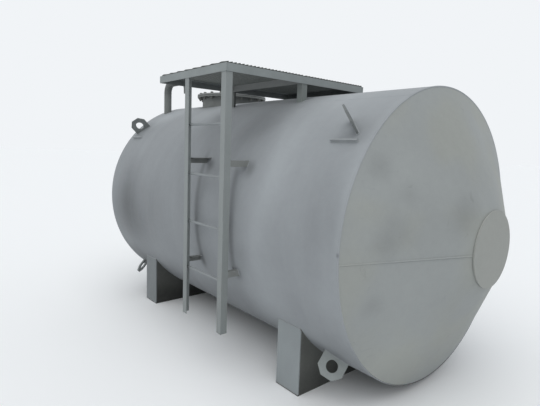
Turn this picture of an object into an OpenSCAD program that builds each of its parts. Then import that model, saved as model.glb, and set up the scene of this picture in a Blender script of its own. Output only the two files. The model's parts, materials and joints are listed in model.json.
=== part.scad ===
// Horizontal storage tank with shallow cone ends, two box saddles, lifting lugs,
// a bolted top hatch, a vent pipe, and a ladder that carries a small mesh platform.
// The origin is on the ground, at the middle of the footprint. X runs along the tank.

/* [Shell] */
// Outside diameter of the shell
shell_d = 1900; // [1700:10:2100]
// Length of the cylindrical part
shell_length = 3050; // [2800:10:3600]
// Plate thickness of the shell and the cones
shell_wall = 5; // [4:0.5:8]
// Height of the lowest line of the shell above the ground
belly_clearance = 60; // [40:5:150]

/* [Ends] */
// Depth of each cone from the shell edge to its cap
cone_depth = 347; // [250:1:450]
// Diameter of the flat cap on each cone
cap_d = 460; // [400:5:600]
// Thickness of the cap
cap_t = 8; // [6:1:12]
// How far the cap laps over the cone edge
cap_lap = 8; // [4:1:15]

/* [Saddles] */
// Distance from the shell edge to the middle of a saddle
saddle_inset = 525; // [430:5:700]
// Width of a saddle along the tank
saddle_w = 210; // [150:5:300]
// Length of a saddle across the tank
saddle_span = 1528; // [1200:4:1600]
// Plate thickness of the saddles
saddle_t = 8; // [6:1:12]
// Thickness of the base plate under each saddle
base_t = 10; // [8:1:20]

/* [Angle bars] */
// Flange width of the equal angle bars
angle_w = 50; // [40:1:60]
// Thickness of the angle bars
angle_t = 5; // [4:0.5:6]
// Root radius of the angle bars
angle_root = 5.5; // [3:0.5:7]

/* [Ladder] */
// Outside width of the ladder
ladder_w = 505; // [400:5:600]
// Gap between the side of the shell and the front of the ladder
ladder_standoff = 91; // [75:1:200]
// Height of the ladder foot above the ground
ladder_foot = 308; // [100:4:400]
// Height of the lowest rung above the ladder foot
first_rung = 350; // [150:1:400]
// Distance between rungs
rung_pitch = 345; // [250:1:370]
// Diameter of the rungs
rung_d = 18; // [14:1:25]
// Distance of the rung axis behind the ladder front
rung_setback = 28; // [20:1:34]
// Height of the upper brackets above the tank axis
upper_bracket_rise = 450; // [300:1:550]
// Depth of the lower brackets below the tank axis
lower_bracket_drop = 282; // [150:1:400]
// Flange width of the brackets' angle bars
bracket_w = 40; // [30:1:50]
// Thickness of the brackets' angle bars
bracket_t = 4; // [3:0.5:6]

/* [Platform] */
// Length of the platform along the tank
platform_w = 890; // [700:10:1100]
// Depth of the platform across the tank
platform_depth = 1330; // [1150:10:1450]
// Distance of the platform centre from the tank centre
platform_offset = 194; // [60:2:400]
// Height of the frame top above the shell
platform_rise = 100; // [70:5:200]
// Distance of the cross rail behind the front of the platform
cross_rail_setback = 652; // [500:4:700]
// Thickness of the expanded metal deck
deck_t = 6; // [4:1:10]
// Long way of one mesh opening
mesh_long = 110; // [90:1:130]
// Short way of one mesh opening
mesh_short = 31.25; // [28:0.25:45]
// Width of one mesh strand
strand_w = 6; // [4:0.5:9]
// Gap between the two deck panels
panel_gap = 4; // [2:1:10]

/* [Hatch] */
// Distance from the shell edge to the hatch axis
hatch_inset = 740; // [700:5:850]
// Outside diameter of the hatch neck
neck_d = 580; // [480:5:600]
// Wall thickness of the hatch neck
neck_wall = 8; // [5:1:10]
// Height of the neck above the top of the shell
neck_rise = 72; // [60:2:160]
// Diameter of the hatch flange and cover
flange_d = 680; // [660:5:720]
// Thickness of the hatch flange
flange_t = 16; // [10:1:24]
// Thickness of the hatch cover
cover_t = 14; // [8:1:20]

/* [Vent] */
// Distance from the shell edge to the vent pipe
vent_inset = 90; // [60:5:200]
// Distance of the vent pipe in front of the tank axis
vent_y = 375; // [310:5:450]
// Outside diameter of the vent pipe
vent_d = 76; // [60:1:90]
// Wall thickness of the vent pipe
vent_wall = 4; // [3:0.5:6]
// Height of the pipe axis at the top bend above the shell
vent_rise = 225; // [160:5:300]
// Bend radius of the vent elbows
vent_bend = 100; // [80:1:110]
// Distance between the two legs of the vent
vent_spread = 420; // [300:5:460]
// Length of the tail below the second bend
vent_tail = 30; // [5:1:40]

/* [Lugs] */
// Distance from the shell edge to the middle of an upper lug at the right end
right_top_lug_inset = 167; // [110:1:300]
// Distance from the shell edge to the middle of an upper lug at the left end
left_top_lug_inset = 147; // [110:1:300]
// Distance from the shell edge to the middle of a lower lug at the right end
right_low_lug_inset = 240; // [100:1:300]
// Distance from the shell edge to the middle of a lower lug at the left end
left_low_lug_inset = 97; // [90:1:300]
// Angle of the upper lugs above the tank axis
top_lug_angle = 45; // [40:1:60]
// Angle of the lower lugs below the tank axis
low_lug_angle = 49; // [40:1:60]
// Turn of the lug plates from the tank axis
lug_turn = 45; // [30:1:60]
// Width of a lug
lug_w = 165; // [140:1:220]
// Height of a lug above the shell
lug_h = 137; // [120:1:180]
// Size of the cut corners of a lug
lug_chamfer = 46; // [30:1:55]
// Plate thickness of a lug
lug_t = 12; // [8:1:20]
// Diameter of the lifting eye
eye_d = 76; // [50:1:80]
// Height of the eye above the shell
eye_rise = 61; // [55:1:75]

/* [Side bars] */
// Distance from the shell edge to the middle of a side bar
bar_inset = 172; // [120:1:250]
// Distance round the shell from the middle of an upper lug down to its side bar
bar_drop = 110; // [95:1:150]
// Length of a side bar
bar_length = 190; // [120:5:220]
// Thickness of a side bar
bar_t = 10; // [6:1:14]
// How far a side bar stands out from the shell
bar_rise = 18; // [10:1:30]

/* [Hidden] */
$fn = 96;
// Sides of the largest rounds
shell_fn = 360;

shell_r = shell_d / 2;
half_length = shell_length / 2;
axis_height = shell_r + belly_clearance;
shell_top = axis_height + shell_r;

// Distance of the front of the frame from the tank axis
front_reach = shell_r + ladder_standoff + angle_t;
// The tank axis is off the middle of the footprint, because the platform reaches out in front
axis_y = (front_reach - shell_r) / 2;

cone_r = cap_d / 2 - cap_lap;
saddle_x = half_length - saddle_inset;

frame_top = shell_top + platform_rise;
frame_left = platform_offset - platform_w / 2;
frame_right = platform_offset + platform_w / 2;
frame_front = axis_y - front_reach;
frame_back = frame_front + platform_depth;
cross_y = frame_front + cross_rail_setback;
bar_top = frame_top - angle_t;

ladder_front = frame_front + angle_t;
ladder_right = frame_right - angle_t;
ladder_left = ladder_right - ladder_w;
ladder_back = ladder_front + angle_w;

hatch_x = -(half_length - hatch_inset);
neck_top = shell_top + neck_rise;
vent_x = -(half_length - vent_inset);
vent_axis_z = shell_top + vent_rise;
bend_start = vent_axis_z - vent_bend;
bar_x = half_length - bar_inset;
bar_angle = top_lug_angle - bar_drop / shell_r * 180 / PI;

// What is cut to the shell starts this far inside it
cut_in = 12;
// Cutting shapes reach this far past what they cut
over = 1;

shell_grey = [0.60, 0.62, 0.64];
cone_grey = [0.61, 0.63, 0.62];
steel_grey = [0.52, 0.55, 0.55];
dark_grey = [0.40, 0.42, 0.42];

// Puts its children in the frame of the tank axis
module on_axis() {
  translate([0, axis_y, axis_height]) children();
}

// Turns a shape that stands along Z so that it runs along X
module along_x() {
  rotate([0, 90, 0]) children();
}

// Full round of the shell, used to cut what seats on it
module shell_round() {
  on_axis() along_x() cylinder(r = shell_r, h = shell_length, center = true, $fn = shell_fn);
}

// Mirrors its children to the left end when end is -1
module at_end(end) {
  mirror([end < 0 ? 1 : 0, 0, 0]) children();
}

// Mirrors its children to the back of the tank when side is 1
module at_side(side) {
  mirror([0, side > 0 ? 1 : 0, 0]) children();
}

// Section of an angle bar with its outer corner at the origin and its flanges along +X and +Y
module angle_section(w = angle_w, t = angle_t) {
  difference() {
    square(w);
    translate([t, t + angle_root]) square(w);
    translate([t + angle_root, t]) square(w);
    translate([t + angle_root, t + angle_root]) circle(r = angle_root);
  }
}

// Shell with the openings under the hatch and the vent
module shell() {
  color(shell_grey) difference() {
    shell_round();
    on_axis() along_x()
      cylinder(r = shell_r - shell_wall, h = shell_length + 2 * over, center = true, $fn = shell_fn);
    translate([hatch_x, axis_y, axis_height]) cylinder(d = neck_d - 2 * neck_wall, h = 2 * shell_r);
    translate([vent_x, axis_y - vent_y, axis_height]) cylinder(d = vent_d - 2 * vent_wall, h = 2 * shell_r);
  }
}

// Cone end, open at its small end under the cap
module cone(end) {
  slant = atan2(shell_r - cone_r, cone_depth);
  wall_run = shell_wall / cos(slant);
  color(cone_grey) on_axis() at_end(end) translate([half_length, 0, 0]) along_x()
    rotate_extrude($fn = shell_fn) polygon([
      [shell_r - wall_run, 0], [shell_r, 0],
      [cone_r, cone_depth], [cone_r - wall_run, cone_depth]
    ]);
}

// Round plate lapped on the small end of a cone
module cap(end) {
  color(cone_grey) on_axis() at_end(end) translate([half_length + cone_depth, 0, 0])
    along_x() cylinder(d = cap_d, h = cap_t);
}

module saddle_base(end) {
  color(steel_grey) at_end(end) translate([saddle_x - saddle_w / 2, axis_y - saddle_span / 2, 0])
    cube([saddle_w, saddle_span, base_t]);
}

// Plate across the front or the back of a saddle
module saddle_end_plate(end, side) {
  color(steel_grey) difference() {
    at_end(end) translate([0, axis_y, 0]) at_side(side)
      translate([saddle_x - saddle_w / 2, -saddle_span / 2, base_t])
        cube([saddle_w, saddle_t, axis_height - base_t]);
    shell_round();
  }
}

// The two webs of a saddle, flush with the edges of its end plates
module saddle_webs(end) {
  web_length = saddle_span - 2 * saddle_t;
  color(dark_grey) difference() {
    at_end(end) for (x = [saddle_x - saddle_w / 2, saddle_x + saddle_w / 2 - saddle_t])
      translate([x, axis_y - web_length / 2, base_t])
        cube([saddle_t, web_length, axis_height - base_t]);
    shell_round();
  }
}

// Upright angle bar with its corner outwards, from the given height up to the frame
module upright(x, y, turn_x, turn_y, low) {
  translate([x, y, low]) mirror([turn_x, 0, 0]) mirror([0, turn_y, 0])
    linear_extrude(bar_top - low) angle_section();
}

module ladder_left_stringer() {
  color(steel_grey) difference() {
    upright(ladder_left, ladder_front, 0, 0, ladder_foot);
    front_rail();
  }
}

module ladder_right_stringer() {
  color(steel_grey) difference() {
    upright(ladder_right, ladder_front, 1, 0, ladder_foot);
    front_rail();
    right_rail();
  }
}

// Round bar between the side flanges of the stringers
module rung(number) {
  color(steel_grey)
    translate([ladder_left + angle_t, ladder_front + rung_setback,
               ladder_foot + first_rung + (number - 1) * rung_pitch])
      along_x() cylinder(d = rung_d, h = ladder_w - 2 * angle_t);
}

// Pair of short angle bars that tie the stringers to the shell
module brackets(top) {
  color(dark_grey) difference() {
    for (right = [0, 1])
      translate([right ? ladder_right : ladder_left, ladder_back, top])
        mirror([right, 0, 0]) rotate([-90, 0, 0])
          linear_extrude(shell_r) angle_section(bracket_w, bracket_t);
    shell_round();
  }
}

// One side of the frame, from a corner along +X, mitred at both ends
module frame_rail(length) {
  intersection() {
    translate([0, 0, frame_top]) rotate([90, 0, 90]) linear_extrude(length)
      mirror([0, 1]) angle_section();
    linear_extrude(frame_top + over) polygon([
      [-over, -over], [length + over, -over],
      [length - angle_w - over, angle_w + over], [angle_w + over, angle_w + over]
    ]);
  }
}

module front_rail() {
  color(steel_grey) translate([frame_left, frame_front, 0]) frame_rail(platform_w);
}

module right_rail() {
  color(steel_grey) translate([frame_right, frame_front, 0]) rotate(90) frame_rail(platform_depth);
}

module back_rail() {
  color(steel_grey) translate([frame_right, frame_back, 0]) rotate(180) frame_rail(platform_w);
}

module left_rail() {
  color(steel_grey) translate([frame_left, frame_back, 0]) rotate(270) frame_rail(platform_depth);
}

// Rail between the side rails, coped to their flanges
module cross_rail() {
  color(steel_grey) difference() {
    translate([frame_left + angle_t, cross_y, frame_top]) rotate([90, 0, 90])
      linear_extrude(platform_w - 2 * angle_t) mirror([0, 1]) angle_section();
    left_rail();
    right_rail();
  }
}

// Panel of expanded metal, with its mesh spread evenly so that bonds end on its edges
module mesh_panel(width, depth) {
  columns = round(width / mesh_long);
  rows = round(depth / mesh_short);
  long_way = width / columns;
  short_way = depth / rows;
  // Share of the half diagonals that stays open between the strands
  open = 1 - strand_w * norm([long_way, short_way]) / (long_way * short_way);
  a = open * long_way / 2;
  b = open * short_way / 2;
  linear_extrude(deck_t) difference() {
    square([width, depth]);
    for (i = [0 : 2 * columns], j = [0 : 2 * rows])
      if ((i + j) % 2 == 0)
        translate([i * long_way / 2, j * short_way / 2])
          polygon([[-a, 0], [0, -b], [a, 0], [0, b]]);
  }
}

module front_deck() {
  color(dark_grey) translate([frame_left, frame_front, frame_top])
    mesh_panel(platform_w, cross_rail_setback + angle_w / 2 - panel_gap / 2);
}

module back_deck() {
  joint = cross_rail_setback + angle_w / 2 + panel_gap / 2;
  color(dark_grey) translate([frame_left, frame_front + joint, frame_top])
    mesh_panel(platform_w, platform_depth - joint);
}

module left_post() {
  color(steel_grey) difference() {
    upright(frame_left + angle_t, cross_y + angle_t, 0, 0, axis_height);
    shell_round();
    left_rail();
    cross_rail();
  }
}

module right_post() {
  color(steel_grey) difference() {
    upright(frame_right - angle_t, cross_y + angle_t, 1, 0, axis_height);
    shell_round();
    right_rail();
    cross_rail();
  }
}

module left_back_post() {
  color(steel_grey) difference() {
    upright(frame_left + angle_t, frame_back - angle_t, 0, 1, axis_height);
    shell_round();
    left_rail();
    back_rail();
  }
}

module right_back_post() {
  color(steel_grey) difference() {
    upright(frame_right - angle_t, frame_back - angle_t, 1, 1, axis_height);
    shell_round();
    right_rail();
    back_rail();
  }
}

// Neck that stands on the shell round the hatch opening
module hatch_neck() {
  color(steel_grey) difference() {
    translate([hatch_x, axis_y, axis_height]) cylinder(d = neck_d, h = neck_top - axis_height);
    translate([hatch_x, axis_y, 0]) cylinder(d = neck_d - 2 * neck_wall, h = neck_top + over);
    shell_round();
  }
}

module hatch_flange() {
  color(steel_grey) translate([hatch_x, axis_y, neck_top - flange_t]) difference() {
    cylinder(d = flange_d, h = flange_t);
    translate([0, 0, -over]) cylinder(d = neck_d, h = flange_t + 2 * over);
  }
}

module hatch_cover() {
  color(steel_grey) translate([hatch_x, axis_y, neck_top]) cylinder(d = flange_d, h = cover_t);
}

// Section of the vent pipe
module vent_section() {
  difference() {
    circle(d = vent_d);
    circle(d = vent_d - 2 * vent_wall);
  }
}

// Quarter bend that starts upwards at the origin and ends along +X
module vent_elbow() {
  translate([vent_bend, 0, 0]) rotate([90, 0, 180]) rotate_extrude(angle = 90)
    translate([vent_bend, 0]) vent_section();
}

// Pipe that stands on the shell, with its elbow
module vent_pipe() {
  color(dark_grey) difference() {
    translate([vent_x, axis_y - vent_y, 0]) union() {
      translate([0, 0, axis_height]) linear_extrude(bend_start - axis_height) vent_section();
      translate([0, 0, bend_start]) vent_elbow();
    }
    shell_round();
  }
}

// Straight pipe between the two elbows
module vent_run() {
  color(dark_grey) translate([vent_x + vent_bend, axis_y - vent_y, vent_axis_z])
    along_x() linear_extrude(vent_spread - 2 * vent_bend) vent_section();
}

// Second elbow, with its mouth down
module vent_outlet() {
  color(dark_grey) translate([vent_x + vent_spread, axis_y - vent_y, bend_start]) union() {
    mirror([1, 0, 0]) vent_elbow();
    translate([0, 0, -vent_tail]) linear_extrude(vent_tail) vent_section();
  }
}

// Lug plate, standing along Z on the shell line, with its eye along Y
module lug_plate() {
  rotate([90, 0, 0]) translate([0, 0, -lug_t / 2]) linear_extrude(lug_t) difference() {
    polygon([
      [-lug_w / 2, -cut_in], [lug_w / 2, -cut_in],
      [lug_w / 2, lug_h - lug_chamfer], [lug_w / 2 - lug_chamfer, lug_h],
      [lug_chamfer - lug_w / 2, lug_h], [-lug_w / 2, lug_h - lug_chamfer]
    ]);
    translate([0, eye_rise]) circle(d = eye_d);
  }
}

// Lug welded to the shell, turned between the axis and the round of the shell
module lug(end, side, inset, angle) {
  color(steel_grey) difference() {
    on_axis() at_end(end) at_side(side) rotate([90 - angle, 0, 0])
      translate([half_length - inset, 0, shell_r]) rotate([0, 0, -lug_turn]) lug_plate();
    shell_round();
  }
}

// Short flat bars along the shell under the upper lugs
module side_bars() {
  color(dark_grey) difference() {
    on_axis() for (end = [-1, 1], side = [-1, 1])
      at_end(end) at_side(side) rotate([90 - bar_angle, 0, 0])
        translate([bar_x - bar_length / 2, -bar_t / 2, shell_r - cut_in])
          cube([bar_length, bar_t, cut_in + bar_rise]);
    shell_round();
  }
}

shell();
cone(1);  // right_cone
cone(-1);  // left_cone
cap(1);  // right_cap
cap(-1);  // left_cap
saddle_base(1);  // right_saddle_base
saddle_end_plate(1, -1);  // right_saddle_front_plate
saddle_end_plate(1, 1);  // right_saddle_back_plate
saddle_webs(1);  // right_saddle_webs
saddle_base(-1);  // left_saddle_base
saddle_end_plate(-1, -1);  // left_saddle_front_plate
saddle_end_plate(-1, 1);  // left_saddle_back_plate
saddle_webs(-1);  // left_saddle_webs
ladder_left_stringer();
ladder_right_stringer();
rung(1);  // rung_1
rung(2);  // rung_2
rung(3);  // rung_3
rung(4);  // rung_4
brackets(axis_height + upper_bracket_rise);  // upper_brackets
brackets(axis_height - lower_bracket_drop);  // lower_brackets
front_rail();
right_rail();
back_rail();
left_rail();
cross_rail();
front_deck();
back_deck();
left_post();
right_post();
left_back_post();
right_back_post();
hatch_neck();
hatch_flange();
hatch_cover();
vent_pipe();
vent_run();
vent_outlet();
lug(1, -1, right_top_lug_inset, top_lug_angle);  // lug_right_front_top
lug(-1, -1, left_top_lug_inset, top_lug_angle);  // lug_left_front_top
lug(1, 1, right_top_lug_inset, top_lug_angle);  // lug_right_back_top
lug(-1, 1, left_top_lug_inset, top_lug_angle);  // lug_left_back_top
lug(1, -1, right_low_lug_inset, -low_lug_angle);  // lug_right_front_low
lug(-1, -1, left_low_lug_inset, -low_lug_angle);  // lug_left_front_low
lug(1, 1, right_low_lug_inset, -low_lug_angle);  // lug_right_back_low
lug(-1, 1, left_low_lug_inset, -low_lug_angle);  // lug_left_back_low
side_bars();
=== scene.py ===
import bpy
import json
import math
from mathutils import Matrix, Vector


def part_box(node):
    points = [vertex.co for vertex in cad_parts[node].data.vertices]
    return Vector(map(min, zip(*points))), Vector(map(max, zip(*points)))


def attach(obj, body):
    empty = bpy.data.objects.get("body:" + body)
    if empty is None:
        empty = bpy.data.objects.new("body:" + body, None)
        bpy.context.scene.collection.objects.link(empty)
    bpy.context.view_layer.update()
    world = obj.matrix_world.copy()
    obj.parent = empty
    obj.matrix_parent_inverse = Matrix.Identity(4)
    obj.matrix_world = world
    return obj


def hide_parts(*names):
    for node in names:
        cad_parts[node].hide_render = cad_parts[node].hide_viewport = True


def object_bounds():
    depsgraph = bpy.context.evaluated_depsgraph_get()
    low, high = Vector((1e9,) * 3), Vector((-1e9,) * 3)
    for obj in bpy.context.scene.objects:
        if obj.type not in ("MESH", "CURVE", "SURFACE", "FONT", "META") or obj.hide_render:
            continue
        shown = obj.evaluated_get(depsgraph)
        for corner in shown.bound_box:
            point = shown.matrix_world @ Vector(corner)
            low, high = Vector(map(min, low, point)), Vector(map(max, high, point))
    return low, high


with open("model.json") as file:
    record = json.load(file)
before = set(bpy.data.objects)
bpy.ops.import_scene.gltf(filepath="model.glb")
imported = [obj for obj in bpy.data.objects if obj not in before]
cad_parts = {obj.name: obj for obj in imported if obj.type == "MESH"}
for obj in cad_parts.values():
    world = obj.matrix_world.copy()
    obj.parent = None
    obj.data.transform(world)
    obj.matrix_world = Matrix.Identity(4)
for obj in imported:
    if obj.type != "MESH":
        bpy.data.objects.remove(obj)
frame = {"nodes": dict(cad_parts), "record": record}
cadLow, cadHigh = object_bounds()
print("stage: frame loaded,", len(frame["nodes"]), "nodes")

# Sizes of the tank, read from the frame
shellLow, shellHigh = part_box("shell")
axisY = (shellLow.y + shellHigh.y) / 2
axisZ = (shellLow.z + shellHigh.z) / 2
shellRadius = (shellHigh.y - shellLow.y) / 2
shellEnd = shellHigh.x
capLow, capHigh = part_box("right_cap")
capRadius = (capHigh.y - capLow.y) / 2
mounts = {mount["name"]: mount for mount in frame["record"]["mounts"]}


# Small helpers for points and rings on the tank

def spread(low, high, count):  # evenly spaced, both ends included
    return [low + (high - low) * i / (count - 1) for i in range(count)]


def turns(count):  # the angles of points all round a circle
    return spread(0, 2 * math.pi, count + 1)[:-1]


def onShell(x, degrees, out=0.0, side=1):  # by its angle above the axis; side -1 is the back
    angle = math.radians(degrees)
    reach = shellRadius + out
    return Vector((x, axisY - side * reach * math.cos(angle), axisZ + reach * math.sin(angle)))


def aboveShell(y):
    return axisZ + math.sqrt(shellRadius**2 - (y - axisY)**2)


def belowShell(y):
    return axisZ - math.sqrt(shellRadius**2 - (y - axisY)**2)


def frontOfShell(z):
    return axisY - math.sqrt(shellRadius**2 - (z - axisZ)**2)


def uprightRing(centre, radius, count):  # a path that ends in None is closed
    return [(centre[0], centre[1] + radius * math.cos(t), centre[2] + radius * math.sin(t))
            for t in turns(count)] + [None]


def flatRing(centre, radius, count=48):
    return [(centre[0] + radius * math.cos(t), centre[1] + radius * math.sin(t), centre[2])
            for t in turns(count)] + [None]


def roundTank(x, radius, count=180):
    return uprightRing((x, axisY, axisZ), radius, count)


def seatedRing(centreX, centreY, radius, sink, count=64):  # where a round stub meets the shell
    path = []
    for t in turns(count):
        y = centreY + radius * math.sin(t)
        path.append((centreX + radius * math.cos(t), y, aboveShell(y) - sink))
    return path + [None]


# Small helpers for node trees

def addNode(tree, kind, inputs=(), **settings):  # an input is a plain value or another node's output
    node = tree.nodes.new(kind)
    for label, value in settings.items():
        setattr(node, label, value)
    for socket, value in dict(inputs).items():
        if isinstance(value, bpy.types.NodeSocket):
            tree.links.new(value, node.inputs[socket])
        else:
            node.inputs[socket].default_value = value
    return node


def mathNode(tree, operation, first, second=0.0):
    return addNode(tree, "ShaderNodeMath", {0: first, 1: second}, operation=operation).outputs[0]


def addUp(tree, values):
    total = values[0]
    for value in values[1:]:
        total = mathNode(tree, "ADD", total, value)
    return total


def ramp(tree, value, low, high, start=0.0, end=1.0):  # smooth step from start to end
    return addNode(tree, "ShaderNodeMapRange", {
        "Value": value, "From Min": low, "From Max": high, "To Min": start, "To Max": end},
        interpolation_type="SMOOTHSTEP").outputs["Result"]


def swing(tree, value, amount):  # a noise from 0 to 1 becomes a change of tone, up and down
    return mathNode(tree, "MULTIPLY", mathNode(tree, "SUBTRACT", value, 0.5), amount)


def stretched(tree, place, scale):
    return addNode(tree, "ShaderNodeMapping", {"Scale": scale, "Vector": place}).outputs["Vector"]


def noise(tree, place, scale, detail=3.0, rough=0.5, warp=0.0):
    return addNode(tree, "ShaderNodeTexNoise", {
        "Scale": scale, "Detail": detail, "Roughness": rough, "Distortion": warp,
        "Vector": place}).outputs["Fac"]


def axes(tree, place):
    node = addNode(tree, "ShaderNodeSeparateXYZ", {0: place})
    return node.outputs["X"], node.outputs["Y"], node.outputs["Z"]


def patch(tree, place, centre, size, strength):  # soft oval, strongest in its middle
    move = addNode(tree, "ShaderNodeVectorMath", {0: place, 1: centre}, operation="SUBTRACT")
    shrink = addNode(tree, "ShaderNodeVectorMath", {0: move.outputs[0], 1: size}, operation="DIVIDE")
    reach = addNode(tree, "ShaderNodeVectorMath", {0: shrink.outputs[0]}, operation="LENGTH")
    return ramp(tree, reach.outputs["Value"], 0.0, 1.0, strength, 0.0)


def shadeColor(tree, color, factor):  # the paint's colour times a grey factor
    return addNode(tree, "ShaderNodeVectorMath", {0: color, "Scale": factor}, operation="SCALE").outputs[0]


def blendColor(tree, factor, first, second):
    node = addNode(tree, "ShaderNodeMix", {"Factor": factor}, data_type="RGBA")
    for label, value in (("A", first), ("B", second)):
        socket = next(s for s in node.inputs if s.name == label and s.type == "RGBA")
        if isinstance(value, tuple):
            socket.default_value = (*value, 1)
        else:
            tree.links.new(value, socket)
    return next(s for s in node.outputs if s.type == "RGBA")


def startMaterial(name):
    material = bpy.data.materials.new(name)
    material.use_nodes = True
    tree = material.node_tree
    place = tree.nodes.new("ShaderNodeTexCoord").outputs["Object"]
    return material, tree, tree.nodes["Principled BSDF"], place


# Camera

photoCamera = {
    "place": (2.9273, -2.552, 1.5512),
    "yaw": 0.8661,
    "pitch": 0.1263,  # downwards
    "roll": 0.036,
    "focalPixels": 436.35,
    "widthPixels": 540,
    "sensorWidth": 36.0,
}


def makeCamera(settings):
    yaw, pitch, roll = settings["yaw"], settings["pitch"], settings["roll"]
    ahead = Vector((-math.sin(yaw) * math.cos(pitch), math.cos(yaw) * math.cos(pitch), -math.sin(pitch)))
    level = Vector((math.cos(yaw), math.sin(yaw), 0))
    upright = level.cross(ahead)
    right = math.cos(roll) * level + math.sin(roll) * upright
    up = math.cos(roll) * upright - math.sin(roll) * level
    data = bpy.data.cameras.new("photoCamera")
    data.sensor_fit = "HORIZONTAL"
    data.sensor_width = settings["sensorWidth"]
    data.lens = settings["focalPixels"] * settings["sensorWidth"] / settings["widthPixels"]
    camera = bpy.data.objects.new("photoCamera", data)
    bpy.context.scene.collection.objects.link(camera)
    turn = Matrix((right, up, -ahead)).transposed().to_4x4()
    camera.matrix_world = Matrix.Translation(settings["place"]) @ turn
    bpy.context.scene.camera = camera


makeCamera(photoCamera)
print("stage: camera set")


# Floor, background and lights

studio = {
    "floorSize": 160.0,
    "floorColor": (0.90, 0.91, 0.92),
    "floorRoughness": 0.9,
    "floorSpecular": 0.1,
    "skyColor": (0.915, 0.958, 1.0),
    "skyStrength": 0.63,
    "backdrop": (0.880, 0.905, 0.930),
    "sunTowards": (-0.30, 0.40, -1.0),
    "sunSpread": 1.4,  # radians, so that shadows stay soft
    "sunStrength": 1.40,
    "sunColor": (1.0, 0.985, 0.96),
}


def makeFloor(settings):
    half = settings["floorSize"] / 2
    mesh = bpy.data.meshes.new("floor")
    corners = [(-half, -half, 0), (half, -half, 0), (half, half, 0), (-half, half, 0)]
    mesh.from_pydata(corners, [], [(0, 1, 2, 3)])
    floor = bpy.data.objects.new("floor", mesh)
    bpy.context.scene.collection.objects.link(floor)
    material = bpy.data.materials.new("paleFloor")
    material.use_nodes = True
    shader = material.node_tree.nodes["Principled BSDF"]
    shader.inputs["Base Color"].default_value = (*settings["floorColor"], 1)
    shader.inputs["Roughness"].default_value = settings["floorRoughness"]
    shader.inputs["Specular IOR Level"].default_value = settings["floorSpecular"]
    mesh.materials.append(material)


def makeSky(settings):
    world = bpy.data.worlds.new("overcastSky")
    bpy.context.scene.world = world
    world.use_nodes = True
    tree = world.node_tree
    tree.nodes.clear()
    light = addNode(tree, "ShaderNodeBackground", {
        "Color": (*settings["skyColor"], 1), "Strength": settings["skyStrength"]})
    seen = addNode(tree, "ShaderNodeBackground", {"Color": (*settings["backdrop"], 1)})
    rays = tree.nodes.new("ShaderNodeLightPath").outputs
    mirrored = mathNode(tree, "MAXIMUM", rays["Is Glossy Ray"], rays["Is Transmission Ray"])
    either = mathNode(tree, "MAXIMUM", rays["Is Camera Ray"], mirrored)
    choice = addNode(tree, "ShaderNodeMixShader", {0: either, 1: light.outputs[0], 2: seen.outputs[0]})
    addNode(tree, "ShaderNodeOutputWorld", {"Surface": choice.outputs[0]})


def makeSun(settings):
    lamp = bpy.data.lights.new("softSun", "SUN")
    lamp.angle = settings["sunSpread"]
    lamp.energy = settings["sunStrength"]
    lamp.color = settings["sunColor"]
    sun = bpy.data.objects.new("softSun", lamp)
    bpy.context.scene.collection.objects.link(sun)
    sun.matrix_world = Vector(settings["sunTowards"]).to_track_quat("-Z", "Y").to_matrix().to_4x4()


makeFloor(studio)
makeSky(studio)
makeSun(studio)
bpy.context.scene.view_settings.view_transform = "Standard"
print("stage: floor, sky and lamp set")


# The surface of all paints. Noise patterns, here and below, give scale, detail, roughness and warp

paintSurface = {
    "specular": 0.35,
    "fine": (420.0, 2.0, 0.6),
    "coarse": (60.0, 3.0, 0.55),
    "wave": (3.2, 1.0),
    "bumpStrength": 0.6,
}
noiseSpan = (0.3, 0.7)  # most of a noise lies between these


def finishPaint(tree, shader, place, color, roughness, grain, wave=0.0):  # the last two in metres
    look = paintSurface
    tree.links.new(color, shader.inputs["Base Color"])
    tree.links.new(roughness, shader.inputs["Roughness"])
    shader.inputs["Specular IOR Level"].default_value = look["specular"]
    grains = mathNode(tree, "ADD", noise(tree, place, *look["fine"]), noise(tree, place, *look["coarse"]))
    height = mathNode(tree, "MULTIPLY", grains, grain)
    if wave:
        waves = mathNode(tree, "MULTIPLY", noise(tree, place, *look["wave"]), wave)
        height = mathNode(tree, "ADD", height, waves)
    bump = addNode(tree, "ShaderNodeBump", {
        "Strength": look["bumpStrength"], "Distance": 1.0, "Height": height})
    tree.links.new(bump.outputs["Normal"], shader.inputs["Normal"])


# Paint on the shell: sprayed in bands round it, with painted shadows behind the stringers and painted shade
# under the lugs, the platform and towards the belly

shellPaint = {
    "color": (0.293, 0.311, 0.326),
    "bellyColor": (0.075, 0.078, 0.075),
    "bellyEdge": 0.12,
    "bellyTop": 0.30,  # height above which the belly's dark colour is gone
    "bellyClouds": 0.12,  # how far the clouds move the belly's edge
    "lowShade": 0.22,  # painted shade: how much darker the colour gets towards the belly
    "lowShadeTop": 0.62,
    "farTone": 0.15,  # how much darker the part left of the ladder is
    "farFrom": 0.95,
    "farTo": 0.40,
    "bands": (3.4, 3.0, 0.55, 0.3),
    "bandStretch": (1.0, 0.16, 0.16),
    "bandStrength": 0.13,
    "clouds": (4.2, 5.0, 0.6, 0.4),
    "cloudStretch": (1.0, 0.55, 0.55),
    "cloudStrength": 0.13,
    "mottle": (21.0, 4.0, 0.65),
    "specks": (130.0, 2.0, 0.6),
    "speckStrength": 0.05,
    "edgeBand": 0.055,  # width of the lighter band along each end
    "edgeFull": 0.3,  # share of that width where it is lightest
    "edgeLift": 0.03,
    "stringerShadowWidth": 0.045,
    "stringerShadowStrength": 0.24,
    "stringerShadowBottom": 0.10,  # lengths over which a painted stringer shadow fades out
    "stringerShadowTop": 0.16,
    "frontFade": 0.2,  # the painted stringer shadows are on the ladder's side only
    "roughness": (0.56, 0.74),
    "grain": 0.00006,
    "wave": 0.0012,
}

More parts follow.
